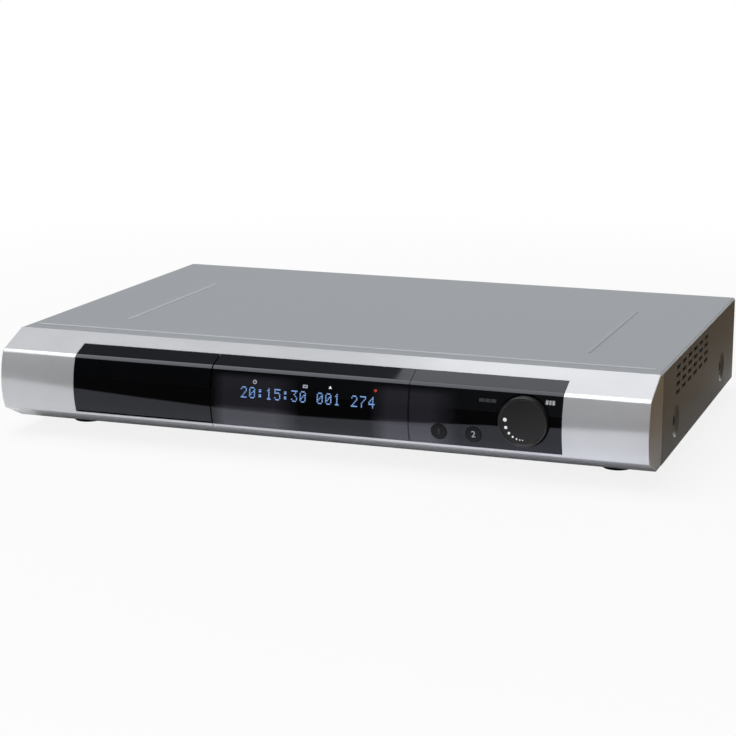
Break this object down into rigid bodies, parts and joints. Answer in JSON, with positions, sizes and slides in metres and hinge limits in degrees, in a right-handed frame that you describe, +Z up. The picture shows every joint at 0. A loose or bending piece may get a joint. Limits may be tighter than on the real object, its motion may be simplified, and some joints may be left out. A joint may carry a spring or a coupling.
{
  "type": "satellite television receiver",
  "caption": "Flat steel-cased receiver with a silver curved front, black gloss window, jog knob, two round keys and a drop-down card flap.",
  "frame": {"origin": "the middle of the footprint, on the surface that the feet stand on", "axes": "+X to the right seen from the front, the front towards -Y, +Z up"},
  "size_m": [0.38, 0.2824, 0.0604],
  "materials": {
    "cover_paint": "fine satin paint",
    "tray_zinc": "zinc-coated sheet",
    "rear_paint": "satin paint",
    "silver_moulding": "silver lacquer on moulded plastic",
    "window_gloss": "polished black",
    "bay_black": "fine texture",
    "cage_steel": "tinned sheet",
    "knob_black": "satin, softly rounded edge",
    "dot_white": "inlaid dots",
    "shaft_alloy": "turned",
    "plunger_plastic": "plain",
    "part_black": "moulded",
    "key_black": "polished",
    "board_green": "solder mask",
    "board_tan": "bare laminate",
    "tube_glass": "sealed display tube",
    "foot_rubber": "moulded",
    "screw_zinc": "zinc plated",
    "screw_paint": "dark paint",
    "standoff_brass": "turned",
    "heatsink_black": "black anodised",
    "heatsink_plain": "mill finish",
    "nickel": "nickel plated",
    "winding_tape": "taped winding",
    "capacitor_sleeve": "shrink sleeve",
    "pin_brass": "plated",
    "rocker_black": "moulded",
    "disk_alloy": "cast and satin",
    "cable_red": "sheathed",
    "wire_yellow": "sheathed wires"
  },
  "bodies": {
    "root": {"top_cover": "cover_paint", "chassis_tray": "tray_zinc", "rear_panel": "rear_paint", "front_moulding": "silver_moulding", "display_window": "window_gloss", "control_panel": "window_gloss", "card_bay": "bay_black", "card_cage": "cage_steel", "chip_card_reader": "bay_black", "encoder_body": "part_black", "key_switches": "plunger_plastic", "front_board": "board_green", "display_tube": "tube_glass", "front_ribbon": "plunger_plastic", "feet": "foot_rubber", "foot_screws": "screw_zinc", "side_screws": "screw_paint", "rear_screws": "screw_paint", "main_board": "board_green", "board_standoffs": "standoff_brass", "board_screws": "screw_zinc", "processor_heatsink": "heatsink_black", "board_chips": "part_black", "tuner_cans": "cage_steel", "aerial_sockets": "nickel", "aerial_nuts": "nickel", "network_socket": "cage_steel", "usb_sockets": "cage_steel", "video_socket": "cage_steel", "scart_socket": "part_black", "phono_block": "part_black", "phono_sleeves": "nickel", "optical_socket": "part_black", "power_board": "board_tan", "power_transformer": "winding_tape", "power_capacitors": "capacitor_sleeve", "power_heatsink": "heatsink_plain", "mains_inlet": "part_black", "inlet_pins": "pin_brass", "switch_housing": "part_black", "hard_disk": "disk_alloy", "disk_cradle": "tray_zinc", "disk_dampers": "foot_rubber", "disk_screws": "screw_zinc", "disk_cable": "cable_red", "power_harness": "wire_yellow", "fan_frame": "part_black"},
    "flap": {"card_flap": "window_gloss"},
    "knob_plunger": {"encoder_plunger": "plunger_plastic"},
    "knob": {"jog_knob": "knob_black", "knob_dots": "dot_white", "encoder_shaft": "shaft_alloy"},
    "left_key": {"left_key": "key_black"},
    "right_key": {"right_key": "key_black"},
    "rocker": {"mains_rocker": "rocker_black"},
    "fan_rotor": {"fan_rotor": "part_black"}
  },
  "joints": [
    {"name": "flap_open", "type": "hinge", "parent": "root", "child": "flap", "pos_m": [-0.10065, -0.13417, 0.0203], "axis": [1, 0, 0], "range_deg": [0, 80]},
    {"name": "knob_press", "type": "slide", "parent": "root", "child": "knob_plunger", "axis": [0, 1, 0], "range_m": [0, 0.0008], "stiffness_N_per_m": 600},
    {"name": "knob_turn", "type": "hinge", "parent": "knob_plunger", "child": "knob", "pos_m": [0.1225, -0.14125, 0.035], "axis": [0, 1, 0], "continuous": true},
    {"name": "left_key_press", "type": "slide", "parent": "root", "child": "left_key", "axis": [0, 1, 0], "range_m": [0, 0.0006], "stiffness_N_per_m": 300},
    {"name": "right_key_press", "type": "slide", "parent": "root", "child": "right_key", "axis": [0, 1, 0], "range_m": [0, 0.0006], "stiffness_N_per_m": 300},
    {"name": "rocker_tilt", "type": "hinge", "parent": "root", "child": "rocker", "pos_m": [0.127, 0.12665, 0.027], "axis": [1, 0, 0], "range_deg": [-18, 0]},
    {"name": "fan_spin", "type": "hinge", "parent": "root", "child": "fan_rotor", "pos_m": [0.088, 0.12425, 0.034], "axis": [0, 1, 0], "continuous": true}
  ]
}
